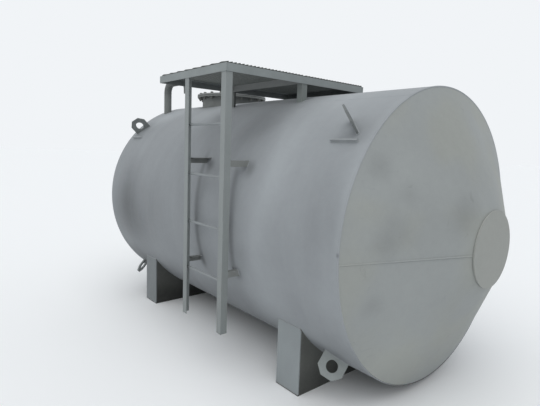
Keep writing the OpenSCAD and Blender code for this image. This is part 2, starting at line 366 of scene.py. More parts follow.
# Painted shadows of the stringers, dark lines on the shell behind them: place at the axis' height, lean, bow,
# lowest and highest point
stringerShadows = [(0.150, -0.09, -0.07, -0.30, 0.40), (0.586, -0.04, -0.22, -0.26, 0.34)]

# Soft patches on the shell, on both sides; the first three are painted shade under the lugs and the side bar,
# the rest darker and lighter tone: place along the tank, angle above the axis, length, height, strength
shellToneAndShadePatches = [
    (1.40, 43.0, 0.16, 0.17, -0.13), (1.35, 40.0, 0.24, 0.08, -0.07), (-1.38, 43.0, 0.17, 0.20, -0.05),
    (1.34, 10.0, 0.18, 0.62, -0.13), (1.06, -6.0, 0.28, 0.42, -0.12), (0.95, 30.0, 0.26, 0.46, 0.09),
    (-0.62, -2.0, 0.36, 0.46, -0.12), (-1.10, 8.0, 0.34, 0.40, -0.13), (-1.15, 34.0, 0.36, 0.30, 0.06),
    (-1.20, -10.0, 0.46, 0.42, -0.20), (-1.28, 57.0, 0.26, 0.20, 0.10), (-0.82, -14.0, 0.20, 0.30, -0.07),
    (0.40, -32.0, 0.40, 0.20, -0.09), (1.20, -26.0, 0.32, 0.24, -0.10), (0.98, -44.0, 0.22, 0.16, -0.12),
    (1.28, -46.0, 0.20, 0.16, -0.14), (1.05, 66.0, 0.36, 0.32, 0.08), (-0.39, 58.0, 0.36, 0.28, 0.12),
    (1.51, 34.0, 0.07, 0.60, 0.07), (-1.15, 68.0, 0.44, 0.40, 0.36), (-1.12, -4.0, 0.46, 0.50, -0.12),
    (1.47, 12.0, 0.08, 0.28, -0.08), (-0.92, -14.0, 0.44, 0.56, -0.10), (-1.25, -40.0, 0.30, 0.25, -0.12),
]

# The same on the ladder's side only, mostly painted shade under the platform and behind the ladder and its
# brackets
ladderShadePatches = [
    (0.60, 48.0, 0.24, 0.32, -0.15), (0.42, 42.0, 0.20, 0.36, -0.10), (0.67, 24.5, 0.08, 0.09, -0.30),
    (0.20, 24.5, 0.07, 0.08, -0.26), (0.62, -19.0, 0.07, 0.08, -0.28), (0.17, -20.0, 0.07, 0.09, -0.20),
    (0.69, 2.0, 0.16, 0.34, -0.06), (0.70, -10.0, 0.14, 0.14, -0.12), (1.523, 0.9, 0.014, 0.020, -0.40),
    (0.573, -17.2, 0.02, 0.02, -0.35),
]


# Dark lines painted on the shell as the stringers' shadows
def stringerShadowTones(tree, look, x, y, z):
    upward = mathNode(tree, "SUBTRACT", z, axisZ)
    front = ramp(tree, y, axisY, axisY - look["frontFade"])
    tones = []
    for along, lean, bow, low, high in stringerShadows:
        curved = mathNode(tree, "ADD", mathNode(tree, "MULTIPLY", upward, bow), lean)
        middle = mathNode(tree, "ADD", mathNode(tree, "MULTIPLY", upward, curved), along)
        off = mathNode(tree, "ABSOLUTE", mathNode(tree, "SUBTRACT", x, middle))
        width = ramp(tree, off, 0.0, look["stringerShadowWidth"], -look["stringerShadowStrength"], 0.0)
        bottom = ramp(tree, upward, low - look["stringerShadowBottom"], low)
        top = ramp(tree, upward, high + look["stringerShadowTop"], high)
        span = mathNode(tree, "MULTIPLY", bottom, top)
        tones.append(mathNode(tree, "MULTIPLY", mathNode(tree, "MULTIPLY", width, span), front))
    return tones


def makeShellPaint(look):
    material, tree, shader, place = startMaterial("shellPaint")
    x, y, z = axes(tree, place)
    bands = noise(tree, stretched(tree, place, look["bandStretch"]), *look["bands"])
    clouds = noise(tree, stretched(tree, place, look["cloudStretch"]), *look["clouds"])
    parts = [
        swing(tree, bands, look["bandStrength"] * 2),
        swing(tree, clouds, look["cloudStrength"] * 2),
        swing(tree, noise(tree, place, *look["mottle"]), look["speckStrength"] * 2),
        swing(tree, noise(tree, place, *look["specks"]), look["speckStrength"]),
    ]
    away = mathNode(tree, "ABSOLUTE", x)
    edge = look["edgeBand"]
    parts.append(ramp(tree, away, shellEnd - edge, shellEnd - look["edgeFull"] * edge, 0.0, look["edgeLift"]))
    # patches of painted shade and tone on both sides, then patches of painted shade on the ladder's side only
    for spots, sides in ((shellToneAndShadePatches, (1, -1)), (ladderShadePatches, (1,))):
        for along, angle, length, height, strength in spots:
            for side in sides:
                centre = onShell(along, angle, side=side)
                parts.append(patch(tree, place, centre, (length, height, height), strength))
    # painted shadows of the stringers
    parts += stringerShadowTones(tree, look, x, y, z)
    parts.append(ramp(tree, x, look["farTo"], look["farFrom"], -look["farTone"], 0.0))
    # painted shade, darker towards the belly
    parts.append(ramp(tree, z, look["bellyTop"], look["lowShadeTop"], -look["lowShade"], 0.0))
    tone = mathNode(tree, "ADD", addUp(tree, parts), 1.0)
    cloudy = mathNode(tree, "ADD", z, mathNode(tree, "MULTIPLY", clouds, look["bellyClouds"]))
    belly = ramp(tree, cloudy, look["bellyEdge"], look["bellyTop"])
    color = blendColor(tree, belly, look["bellyColor"], shadeColor(tree, look["color"], tone))
    rough = ramp(tree, clouds, *noiseSpan, *look["roughness"])
    finishPaint(tree, shader, place, color, rough, look["grain"], look["wave"])
    return material


# Paint on the ends: cloudy, with small blots

endPaint = {
    "color": (0.284, 0.300, 0.298),
    "warm": (0.292, 0.304, 0.287),
    "warmth": (1.7, 2.0, 0.5),  # where the warm colour lies
    "warmSpan": (0.42, 0.60),
    "clouds": (3.1, 4.0, 0.6, 0.5),
    "cloudStrength": 0.10,
    "blots": (8.5, 5.0, 0.62, 0.8),
    "blotSpan": (0.60, 0.80),
    "blotStrength": 0.16,
    "mottle": (24.0, 4.0, 0.65),
    "specks": (130.0, 2.0, 0.6),
    "speckStrength": 0.05,
    "roughness": (0.56, 0.74),
    "grain": 0.00006,
    "wave": 0.0010,
}
capPaint = dict(endPaint, color=(0.291, 0.299, 0.282), warm=(0.291, 0.299, 0.282), blotStrength=0.08)

# Soft patches on the right cone: x, sideways and upwards from the axis, size, strength
conePatches = [
    (1.573, -0.714, 0.460, 0.12, -0.13), (1.657, -0.663, 0.116, 0.16, -0.08),
    (1.630, -0.727, 0.052, 0.12, -0.10), (1.828, -0.219, 0.226, 0.16, -0.13),
    (1.602, -0.738, -0.276, 0.10, -0.10), (1.675, -0.496, 0.399, 0.30, 0.06),
    (1.667, -0.568, 0.321, 0.10, -0.08), (1.816, -0.298, 0.162, 0.14, -0.08),
    (1.693, -0.562, -0.202, 0.34, 0.03), (1.650, 0.200, 0.600, 0.34, 0.04),
    (1.600, -0.450, -0.560, 0.42, 0.08), (1.700, -0.500, 0.150, 0.34, -0.05),
    (1.680, -0.250, 0.480, 0.70, -0.07),
]


def makeEndPaint(name, look, patches=()):
    material, tree, shader, place = startMaterial(name)
    clouds = noise(tree, place, *look["clouds"])
    blots = noise(tree, place, *look["blots"])
    parts = [
        swing(tree, clouds, look["cloudStrength"] * 2),
        ramp(tree, blots, *look["blotSpan"], 0.0, -look["blotStrength"]),
        swing(tree, noise(tree, place, *look["mottle"]), look["speckStrength"] * 2),
        swing(tree, noise(tree, place, *look["specks"]), look["speckStrength"]),
    ]
    for x, across, upward, size, strength in patches:
        parts.append(patch(tree, place, (x, axisY + across, axisZ + upward), (size, size, size), strength))
    tone = mathNode(tree, "ADD", addUp(tree, parts), 1.0)
    warmth = ramp(tree, noise(tree, place, *look["warmth"]), *look["warmSpan"])
    color = shadeColor(tree, blendColor(tree, warmth, look["color"], look["warm"]), tone)
    rough = ramp(tree, clouds, *noiseSpan, *look["roughness"])
    finishPaint(tree, shader, place, color, rough, look["grain"], look["wave"])
    return material


# Paint on bars, plates and fittings: what all share, then each one's own

plainPaint = {
    "long": (1.0, 1.0, 1.0),  # less than 1 draws the clouds out along that axis
    "fades": (),  # changes of tone along an axis: axis, from, to, tone there and there
    "clouds": (4.0, 0.6, 0.3),  # detail, roughness, warp
    "mottle": (55.0, 4.0, 0.65),
    "mottleStrength": 0.14,
    "specks": (240.0, 2.0, 0.6),
    "speckSpan": (0.64, 0.78),
    "speckStrength": 0.16,
    "roughness": (0.50, 0.70),
    "grain": 0.00009,
}
barPaints = {
    "ladderPaint": {"color": (0.250, 0.270, 0.268), "cloud": 0.16, "scale": 7.0, "long": (1.0, 1.0, 0.35),
                    "fades": [(2, 0.45, 1.15, -0.12, 0.0)]},
    "rungPaint": {"color": (0.238, 0.255, 0.262), "cloud": 0.18, "scale": 7.0, "long": (0.5, 1.0, 1.0)},
    "framePaint": {"color": (0.240, 0.262, 0.262), "cloud": 0.18, "scale": 8.0},
    # painted shade under the deck: the left rail darker on its inner side
    "leftRailPaint": {"color": (0.240, 0.262, 0.262), "cloud": 0.18, "scale": 8.0,
                      "fades": [(0, -0.2494, -0.2476, 0.0, -0.45)]},
    # painted shade: the back rail darker on its inner side
    "backRailPaint": {"color": (0.240, 0.262, 0.262), "cloud": 0.18, "scale": 8.0,
                      "fades": [(1, 0.3296, 0.3314, -0.74, 0.0)]},
    # a darker copy of the frame's paint: painted shade on the cross rail
    "crossRailShadePaint": {"color": (0.142, 0.151, 0.149), "cloud": 0.18, "scale": 8.0, "long": (0.4, 1.0, 1.0)},
    "postPaint": {"color": (0.175, 0.193, 0.186), "cloud": 0.20, "scale": 9.0,
                  "fades": [(0, 0.0, 0.4, -0.34, 0.0)]},
    # painted shade: the deck darker towards the tops of its strands
    "deckPaint": {"color": (0.140, 0.150, 0.143), "cloud": 0.20, "scale": 9.0,
                  "fades": [(2, 2.0635, 2.0655, 0.05, -0.45)]},
    # painted shade and light: darker on the left brackets, lighter on the right ones, which face the light
    "bracketPaint": {"color": (0.180, 0.188, 0.182), "cloud": 0.22, "scale": 14.0,
                     "fades": [(0, 0.2, 0.5, -0.08, 0.14)]},
    "saddlePaint": {"color": (0.258, 0.282, 0.290), "cloud": 0.18, "scale": 5.0, "long": (1.0, 1.0, 0.5)},
    "farSaddlePaint": {"color": (0.184, 0.200, 0.205), "cloud": 0.18, "scale": 5.0, "long": (1.0, 1.0, 0.5)},
    "underPaint": {"color": (0.106, 0.110, 0.102), "cloud": 0.28, "scale": 6.0,
                   "fades": [(0, -0.8, 0.8, -0.26, 0.0), (2, 0.02, 0.26, -0.46, 0.0)]},
    "hatchPaint": {"color": (0.165, 0.174, 0.168), "cloud": 0.20, "scale": 12.0, "long": (1.0, 1.0, 0.6)},
    # lighter than the neck and flange: painted light where the sky lights the cover's rim
    "coverPaint": {"color": (0.235, 0.245, 0.240), "cloud": 0.18, "scale": 9.0},
    # painted shade under the platform: the vent darker towards the top
    "ventPaint": {"color": (0.175, 0.186, 0.180), "cloud": 0.18, "scale": 10.0, "long": (1.0, 1.0, 0.5),
                  "fades": [(2, 2.02, 2.10, -0.12, -0.34)]},
    "lugPaint": {"color": (0.272, 0.294, 0.290), "cloud": 0.22, "scale": 16.0},
    # a darker copy of the lug paint: painted shade on the two top lugs
    "lugShadePaint": {"color": (0.152, 0.164, 0.164), "cloud": 0.26, "scale": 16.0},
    "sideBarPaint": {"color": (0.285, 0.301, 0.309), "cloud": 0.18, "scale": 14.0},
    "weldPaint": {"color": (0.270, 0.286, 0.292), "cloud": 0.22, "scale": 30.0},
    # dark paint of the beads round the caps: painted shadow under the cap's lapped rim
    "capLapShadowPaint": {"color": (0.160, 0.168, 0.160), "cloud": 0.22, "scale": 30.0},
    "rubber": {"color": (0.030, 0.030, 0.032), "cloud": 0.20, "scale": 30.0},
    "boltPaint": {"color": (0.130, 0.132, 0.122), "cloud": 0.35, "scale": 60.0},
}


def makeBarPaint(name, own):
    look = dict(plainPaint, **own)
    material, tree, shader, place = startMaterial(name)
    clouds = noise(tree, stretched(tree, place, look["long"]), look["scale"], *look["clouds"])
    mottle = noise(tree, place, *look["mottle"])
    specks = noise(tree, place, *look["specks"])
    parts = [
        swing(tree, clouds, look["cloud"] * 2),
        swing(tree, mottle, look["mottleStrength"]),
        ramp(tree, specks, *look["speckSpan"], 0.0, -look["speckStrength"]),
    ]
    for axis, low, high, start, end in look["fades"]:
        parts.append(ramp(tree, axes(tree, place)[axis], low, high, start, end))
    color = shadeColor(tree, look["color"], mathNode(tree, "ADD", addUp(tree, parts), 1.0))
    rough = ramp(tree, mottle, *noiseSpan, *look["roughness"])
    finishPaint(tree, shader, place, color, rough, look["grain"])
    return material


paints = {name: makeBarPaint(name, own) for name, own in barPaints.items()}
paints["shellPaint"] = makeShellPaint(shellPaint)
paints["rightEndPaint"] = makeEndPaint("rightEndPaint", endPaint, conePatches)
paints["leftEndPaint"] = makeEndPaint("leftEndPaint", endPaint)
paints["capPaint"] = makeEndPaint("capPaint", capPaint)
print("stage:", len(paints), "paints mixed")

finishes = {
    "shell": "shellPaint", "right_cone": "rightEndPaint", "left_cone": "leftEndPaint",
    "right_cap": "capPaint", "left_cap": "capPaint", "cross_rail": "crossRailShadePaint", "back_rail": "backRailPaint",
    "left_rail": "leftRailPaint", "left_saddle_front_plate": "farSaddlePaint",
    "hatch_neck": "hatchPaint", "hatch_flange": "hatchPaint", "hatch_cover": "coverPaint",
    "side_bars": "sideBarPaint", "upper_brackets": "bracketPaint", "lower_brackets": "bracketPaint",
    "lug_right_front_top": "lugShadePaint", "lug_left_front_top": "lugShadePaint",
}
finishStarts = {"rung": "rungPaint", "lug": "lugPaint", "vent": "ventPaint"}
finishEndings = {
    "_stringer": "ladderPaint", "_rail": "framePaint", "_post": "postPaint", "_deck": "deckPaint",
    "_plate": "saddlePaint", "_webs": "underPaint", "_base": "underPaint",
}


def finishFor(node):
    if node in finishes:
        return paints[finishes[node]]
    for start, paint in finishStarts.items():
        if node.startswith(start):
            return paints[paint]
    return next(paints[paint] for ending, paint in finishEndings.items() if node.endswith(ending))


for nodeName, nodeObject in frame["nodes"].items():
    for materialSlot in nodeObject.material_slots:
        materialSlot.material = finishFor(nodeName)
    if not nodeObject.material_slots:
        nodeObject.data.materials.append(finishFor(nodeName))
print("stage: paint on the CAD nodes")


# Small helpers for geometry trees

def startTree(name, inputs):
    tree = bpy.data.node_groups.new(name, "GeometryNodeTree")
    tree.interface.new_socket("Geometry", in_out="INPUT", socket_type="NodeSocketGeometry")
    for label, kind in inputs:
        tree.interface.new_socket(label, in_out="INPUT", socket_type="NodeSocket" + kind)
    tree.interface.new_socket("Geometry", in_out="OUTPUT", socket_type="NodeSocketGeometry")
    given = tree.nodes.new("NodeGroupInput")
    return tree, given.outputs


def randomValue(tree, seed, low, high):
    node = addNode(tree, "FunctionNodeRandomValue", {"Seed": seed}, data_type="FLOAT")
    for socket in node.inputs:
        if socket.enabled and socket.name in ("Min", "Max"):
            socket.default_value = low if socket.name == "Min" else high
    return next(s for s in node.outputs if s.type == "VALUE" and s.enabled)


def endTree(tree, geometry, material):
    real = addNode(tree, "GeometryNodeRealizeInstances", {"Geometry": geometry})
    painted = addNode(tree, "GeometryNodeSetMaterial", {"Geometry": real.outputs[0], "Material": material})
    output = tree.nodes.new("NodeGroupOutput")
    tree.links.new(painted.outputs[0], output.inputs[0])


def runTree(name, mesh, tree, values, move=(0, 0, 0)):  # the result is a plain mesh at the origin
    piece = bpy.data.objects.new(name, mesh)
    bpy.context.scene.collection.objects.link(piece)
    modifier = piece.modifiers.new(name, "NODES")
    modifier.node_group = tree
    for item in tree.interface.items_tree:
        if item.item_type == "SOCKET" and item.in_out == "INPUT" and item.name in values:
            modifier[item.identifier] = values[item.name]
    bpy.context.view_layer.update()
    made = bpy.data.meshes.new_from_object(piece.evaluated_get(bpy.context.evaluated_depsgraph_get()))
    piece.modifiers.clear()
    made.transform(Matrix.Translation(move))
    made.name = name
    piece.data = made
    return piece


def keepPiece(piece, replaced=()):
    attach(piece, "root")
    if replaced:
        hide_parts(*replaced)
    print("stage:", piece.name, "made,", len(piece.data.polygons), "faces")


# Weld beads: a rippled round bar along each path, half sunk in the steel

beadShape = {"sides": 7, "rippleDepth": 0.22, "looseness": 0.10}


def makeBeadTree(look):
    tree, given = startTree("weldBead", [("Bead Radius", "Float"), ("Ripple Pitch", "Float"),
                                         ("Ripple Depth", "Float"), ("Seed", "Int"), ("Paint", "Material")])
    path = addNode(tree, "GeometryNodeMeshToCurve", {"Mesh": given["Geometry"]})
    step = mathNode(tree, "MULTIPLY", given["Ripple Pitch"], 0.5)
    even = addNode(tree, "GeometryNodeResampleCurve", {
        "Curve": path.outputs[0], "Length": step}, mode="LENGTH")
    index = addNode(tree, "GeometryNodeInputIndex").outputs[0]
    dip = mathNode(tree, "MULTIPLY", mathNode(tree, "MODULO", index, 2.0), given["Ripple Depth"])
    loose = randomValue(tree, given["Seed"], -look["looseness"], look["looseness"])
    size = mathNode(tree, "ADD", mathNode(tree, "SUBTRACT", 1.0, dip), loose)
    sized = addNode(tree, "GeometryNodeSetCurveRadius", {"Curve": even.outputs[0], "Radius": size})
    ring = addNode(tree, "GeometryNodeCurvePrimitiveCircle", {
        "Resolution": look["sides"], "Radius": given["Bead Radius"]})
    bar = addNode(tree, "GeometryNodeCurveToMesh", {
        "Curve": sized.outputs[0], "Profile Curve": ring.outputs[0], "Fill Caps": True})
    smooth = addNode(tree, "GeometryNodeSetShadeSmooth", {"Geometry": bar.outputs[0]})
    endTree(tree, smooth.outputs[0], given["Paint"])
    return tree


beadTree = makeBeadTree(beadShape)


def pathMesh(name, paths, radius):
    points, edges = [], []
    for path in paths:
        closed = path[-1] is None
        start = len(points)
        for point in path[:-1] if closed else path:
            points.append([min(max(value, low + radius), high - radius)
                           for value, low, high in zip(point, cadLow, cadHigh)])  # inside the CAD box
        edges += [(i, i + 1) for i in range(start, len(points) - 1)]
        if closed:
            edges.append((len(points) - 1, start))
    mesh = bpy.data.meshes.new(name)
    mesh.from_pydata(points, edges, [])
    return mesh


def makeBeads(name, paths, radius, pitch, seed=1, paint="weldPaint"):
    values = {"Bead Radius": radius, "Ripple Pitch": pitch, "Ripple Depth": beadShape["rippleDepth"],
              "Seed": seed, "Paint": paints[paint]}
    keepPiece(runTree(name, pathMesh(name, paths, radius), beadTree, values))


seamWelds = {
    "beadRadius": 0.0052,
    "sink": 0.0038,
    "pitch": 0.0075,
    "courseSeam": 0.060,
    "courseSink": 0.0046,
    "rightLongSeam": 65.0,  # degrees above the axis, ladder side
    "leftLongSeam": 115.0,
    "coneSeam": -2.3,
    "coneSink": (0.0054, 0.0051),  # at the shell and at the cap
    "coneShort": 0.004,  # how far the seam on the cone stops before the cap
    "capBead": 0.0042,
    "capInset": (0.001, 0.006),  # of the ring round the cap, along the tank and inwards
    "points": 12,
    "capPoints": 90,
}


def makeSeamWelds(look):
    sink, count = look["sink"], look["points"]
    course = look["courseSeam"]
    paths = [roundTank(shellEnd, shellRadius - sink), roundTank(-shellEnd, shellRadius - sink)]
    paths.append(roundTank(course, shellRadius - look["courseSink"]))
    paths.append([onShell(x, look["rightLongSeam"], -sink) for x in spread(course, shellEnd, count)])
    paths.append([onShell(x, look["leftLongSeam"], -sink) for x in spread(-shellEnd, course, count)])
    makeBeads("shell_seam_welds", paths, look["beadRadius"], look["pitch"], paint="shellPaint")


def makeEndWelds(look):
    coneEnd = capLow.x
    slope = (shellRadius - capRadius) / (coneEnd - shellEnd)
    angle = math.radians(look["coneSeam"])
    places = spread(shellEnd, coneEnd - look["coneShort"], look["points"])
    sinks = spread(*look["coneSink"], look["points"])
    back, inwards = look["capInset"]
    seams, rings = [], []
    for end in (1, -1):
        line = []
        for x, sink in zip(places, sinks):
            reach = shellRadius - (x - shellEnd) * slope - sink
            line.append((end * x, axisY - reach * math.cos(angle), axisZ + reach * math.sin(angle)))
        seams.append(line)
        rings.append(roundTank(end * (coneEnd - back), capRadius - inwards, look["capPoints"]))
    makeBeads("cone_seam_welds", seams, look["beadRadius"], look["pitch"], seed=9, paint="rightEndPaint")
    # the beads round the caps carry the painted shadow of the cap's lapped rim
    makeBeads("cap_welds", rings, look["capBead"], look["pitch"], seed=10, paint="capLapShadowPaint")


makeSeamWelds(seamWelds)
makeEndWelds(seamWelds)

lugWelds = {"width": 0.165, "thickness": 0.012, "beadRadius": 0.005, "pitch": 0.006, "points": 10}


def makeLugWelds(look):
    halfWide, halfThick = look["width"] / 2, look["thickness"] / 2
    paths = []
    for name, mount in mounts.items():
        if not name.startswith("eye_"):
            continue
        eye, across = Vector(mount["pos_m"]), Vector(mount["axis"])
        out = Vector((0, eye.y - axisY, eye.z - axisZ)).normalized()
        along = out.cross(across).normalized()
        foot = Vector((eye.x, axisY, axisZ)) + out * shellRadius
        loop = [(u, halfThick) for u in spread(-halfWide, halfWide, look["points"])]
        loop += [(u, -halfThick) for u in spread(halfWide, -halfWide, look["points"])]
        path = []
        for u, v in loop:
            point = foot + along * u + across * v
            side = Vector((0, point.y - axisY, point.z - axisZ)).normalized()
            path.append(Vector((point.x, axisY, axisZ)) + side * shellRadius)
        paths.append(path + [None])
    makeBeads("lug_welds", paths, look["beadRadius"], look["pitch"], seed=2)


makeLugWelds(lugWelds)

saddleWelds = {
    "beadRadius": 0.005, "pitch": 0.007, "cornerRadius": 0.003,
    "webPoints": 40, "cornerPoints": 12, "platePoints": 6,
}


def makeSaddleWelds(look):
    webs, plates, corners = [], [], []
    edge = look["cornerRadius"]
    for end in ("right", "left"):
        low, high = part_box(end + "_saddle_base")
        for x in (low.x, high.x):
            webs.append([(x, y, belowShell(y)) for y in spread(low.y, high.y, look["webPoints"])])
            for y in (low.y, high.y):
                inX = edge if x == low.x else -edge
                inY = edge if y == low.y else -edge
                heights = spread(high.z, belowShell(y), look["cornerPoints"])
                corners.append([(x + inX, y + inY, z) for z in heights])
        for y in (low.y, high.y):
            places = spread(low.x, high.x, look["platePoints"])
            plates.append([(x, y, belowShell(y)) for x in places])
            corners.append([(x, y, high.z) for x in places])
    makeBeads("saddle_web_welds", webs, look["beadRadius"], look["pitch"], seed=12, paint="underPaint")
    makeBeads("saddle_plate_welds", plates, look["beadRadius"], look["pitch"], seed=3)
    makeBeads("saddle_corner_welds", corners, look["cornerRadius"], look["pitch"], seed=4)


makeSaddleWelds(saddleWelds)

fittingWelds = {
    "beadRadius": 0.0042, "pitch": 0.005, "finePitch": 0.004,
    "angleWidth": 0.050, "bracketWidth": 0.040,
    "barInset": 0.172, "barLength": 0.190, "barThickness": 0.010, "barDrop": 0.110, "barPoints": 8,
    "lugAngle": 45.0,  # above the axis
    "rungs": 4, "rungRadius": 0.009, "rungBead": 0.003, "rungPoints": 12,
    "cornerBead": 0.003, "cornerPoints": 4,
}


def bracketPaths(look):
    wide = look["bracketWidth"]
    leftX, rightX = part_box("ladder_left_stringer")[0].x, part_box("ladder_right_stringer")[1].x
    paths = []
    for node in ("upper_brackets", "lower_brackets"):
        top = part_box(node)[1].z
        for corner, inward in ((leftX, 1), (rightX, -1)):
            line = [(corner + inward * wide * t, frontOfShell(top), top) for t in (1, 0.5, 0)]
            line += [(corner, frontOfShell(top - wide * t), top - wide * t) for t in (0.25, 0.5, 0.75, 1)]
            paths.append(line)
    return paths


def postPaths(look):
    wide = look["angleWidth"]
    paths = []
    for node, turnX, turnY in (("left_post", 1, 1), ("right_post", -1, 1),
                               ("left_back_post", 1, -1), ("right_back_post", -1, -1)):
        low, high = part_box(node)
        x = low.x if turnX > 0 else high.x
        y = low.y if turnY > 0 else high.y
        line = [(x + turnX * wide * t, y, aboveShell(y)) for t in (1, 0.5, 0)]
        line += [(x, y + turnY * wide * t, aboveShell(y + turnY * wide * t)) for t in (0.33, 0.66, 1)]
        paths.append(line)
    return paths


def sideBarPaths(look):
    angle = look["lugAngle"] - math.degrees(look["barDrop"] / shellRadius)
    halfTurn = math.degrees(look["barThickness"] / 2 / shellRadius)
    offsets = spread(-look["barLength"] / 2, look["barLength"] / 2, look["barPoints"])
    paths = []
    for end in (1, -1):
        middle = end * (shellEnd - look["barInset"])
        for side in (1, -1):
            loop = [onShell(middle + u, angle + halfTurn, side=side) for u in offsets]
            loop += [onShell(middle - u, angle - halfTurn, side=side) for u in offsets]
            paths.append(loop + [None])
    return paths


def ladderPaths(look):
    paths = []
    for number in range(1, look["rungs"] + 1):
        low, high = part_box(f"rung_{number}")
        y, z = (low.y + high.y) / 2, (low.z + high.z) / 2
        for x in (low.x, high.x):
            paths.append(uprightRing((x, y, z), look["rungRadius"], look["rungPoints"]))
    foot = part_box("front_rail")[0].z
    for node, inward in (("ladder_left_stringer", 1), ("ladder_right_stringer", -1)):
        low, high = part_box(node)
        corner = low.x if inward > 0 else high.x
        paths.append([(corner + inward * look["angleWidth"] * t, low.y, foot) for t in (0, 0.5, 1)])
    return paths


def framePaths(look):
    low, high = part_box("left_rail")
    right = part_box("right_rail")[1].x
    heights = spread(low.z, high.z, look["cornerPoints"])
    return [[(x, y, z) for z in heights] for x in (low.x, right) for y in (low.y, high.y)]


def makeFittingWelds(look):
    paths = bracketPaths(look) + postPaths(look) + sideBarPaths(look)
    makeBeads("fitting_welds", paths, look["beadRadius"], look["pitch"], seed=5)
    makeBeads("ladder_welds", ladderPaths(look), look["rungBead"], look["finePitch"], seed=6,
              paint="ladderPaint")
    makeBeads("frame_welds", framePaths(look), look["cornerBead"], look["finePitch"], seed=11,
              paint="framePaint")


makeFittingWelds(fittingWelds)

topWelds = {
    "beadRadius": 0.005, "pitch": 0.006, "neckSink": 0.001,
    "ventBead": 0.0032, "ventSink": 0.0015, "ventPoints": 36,
}


def makeHatchWelds(look):
    neckLow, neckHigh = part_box("hatch_neck")
    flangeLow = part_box("hatch_flange")[0]
    middle = (neckLow + neckHigh) / 2
    neckRadius = (neckHigh.x - neckLow.x) / 2
    paths = [seatedRing(middle.x, middle.y, neckRadius, look["neckSink"]),
             flatRing((middle.x, middle.y, flangeLow.z), neckRadius)]
    makeBeads("hatch_welds", paths, look["beadRadius"], look["pitch"], seed=7, paint="hatchPaint")


def makeVentWelds(look):
    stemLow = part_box("vent_pipe")[0]
    runLow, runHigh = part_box("vent_run")
    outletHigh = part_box("vent_outlet")[1]
    pipe = (runHigh.y - runLow.y) / 2
    run = (runLow + runHigh) / 2
    firstX, lastX = stemLow.x + pipe, outletHigh.x - pipe
    bendLow = run.z - (runLow.x - firstX)
    sunk = pipe - look["ventSink"]
    rings = [seatedRing(firstX, run.y, pipe, 0.0), flatRing((firstX, run.y, bendLow), sunk),
             flatRing((lastX, run.y, bendLow), sunk)]
    for x in (runLow.x, runHigh.x):
        rings.append(uprightRing((x, run.y, run.z), sunk, look["ventPoints"]))
    makeBeads("vent_welds", rings, look["ventBead"], look["pitch"], seed=8, paint="ventPaint")


makeHatchWelds(topWelds)
makeVentWelds(topWelds)


# Deck of expanded metal: slanted strands that meet in knots

deck = {
    "columns": 8,
    "shortWay": 0.03125,
    "strandHeight": 0.0105,
    "strandThickness": 0.0026,
    "tilt": 0.75,  # radians, lean of the strands between their knots
    "knotTilt": 0.45,
    "steps": 6,
}


def makeDeckTree():
    tree, given = startTree("expandedMetal", [
        ("Width", "Float"), ("Depth", "Float"), ("Columns", "Int"), ("Rows", "Int"),
        ("Strand Height", "Float"), ("Strand Thickness", "Float"), ("Tilt", "Float"),
        ("Knot Tilt", "Float"), ("Steps", "Int"), ("Paint", "Material")])
    countX = mathNode(tree, "MULTIPLY", given["Columns"], 2.0)
    countY = mathNode(tree, "MULTIPLY", given["Rows"], 2.0)
    halfLong = mathNode(tree, "DIVIDE", given["Width"], countX)
    halfShort = mathNode(tree, "DIVIDE", given["Depth"], countY)
    grid = addNode(tree, "GeometryNodeMeshGrid", {
        "Size X": mathNode(tree, "SUBTRACT", given["Width"], halfLong),
        "Size Y": mathNode(tree, "SUBTRACT", given["Depth"], halfShort),
        "Vertices X": countX, "Vertices Y": countY})
    index = addNode(tree, "GeometryNodeInputIndex").outputs[0]
    column = mathNode(tree, "FLOOR", mathNode(tree, "DIVIDE", index, countY))
    row = mathNode(tree, "MODULO", index, countY)
    parity = mathNode(tree, "MODULO", mathNode(tree, "ADD", column, row), 2.0)
    profile = addNode(tree, "GeometryNodeCurvePrimitiveQuadrilateral", {
        "Width": given["Strand Thickness"], "Height": given["Strand Height"]})
    along = addNode(tree, "GeometryNodeSplineParameter").outputs["Factor"]
    wave = mathNode(tree, "SINE", mathNode(tree, "MULTIPLY", along, math.pi))
    extra = mathNode(tree, "SUBTRACT", given["Tilt"], given["Knot Tilt"])
    lean = mathNode(tree, "ADD", given["Knot Tilt"], mathNode(tree, "MULTIPLY", wave, extra))
    both = tree.nodes.new("GeometryNodeJoinGeometry")
    for rise in (0.5, -0.5):
        x, y = mathNode(tree, "MULTIPLY", halfLong, 0.5), mathNode(tree, "MULTIPLY", halfShort, rise)
        start = addNode(tree, "ShaderNodeCombineXYZ", {
            "X": mathNode(tree, "MULTIPLY", x, -1.0), "Y": mathNode(tree, "MULTIPLY", y, -1.0)})
        end = addNode(tree, "ShaderNodeCombineXYZ", {"X": x, "Y": y})
        line = addNode(tree, "GeometryNodeCurvePrimitiveLine", {
            "Start": start.outputs[0], "End": end.outputs[0]})
        even = addNode(tree, "GeometryNodeResampleCurve", {
            "Curve": line.outputs[0], "Count": given["Steps"]}, mode="COUNT")
        level = addNode(tree, "GeometryNodeSetCurveNormal", {"Curve": even.outputs[0]}, mode="Z_UP")
        leant = addNode(tree, "GeometryNodeSetCurveTilt", {"Curve": level.outputs[0], "Tilt": lean})
        strand = addNode(tree, "GeometryNodeCurveToMesh", {
            "Curve": leant.outputs[0], "Profile Curve": profile.outputs[0], "Fill Caps": True})
        single = addNode(tree, "GeometryNodeGeometryToInstance", {"Geometry": strand.outputs[0]})
        tree.links.new(single.outputs[0], both.inputs[0])
    placed = addNode(tree, "GeometryNodeInstanceOnPoints", {
        "Points": grid.outputs["Mesh"], "Instance": both.outputs[0], "Pick Instance": True,
        "Instance Index": parity})
    endTree(tree, placed.outputs[0], given["Paint"])
    return tree


deckTree = makeDeckTree()


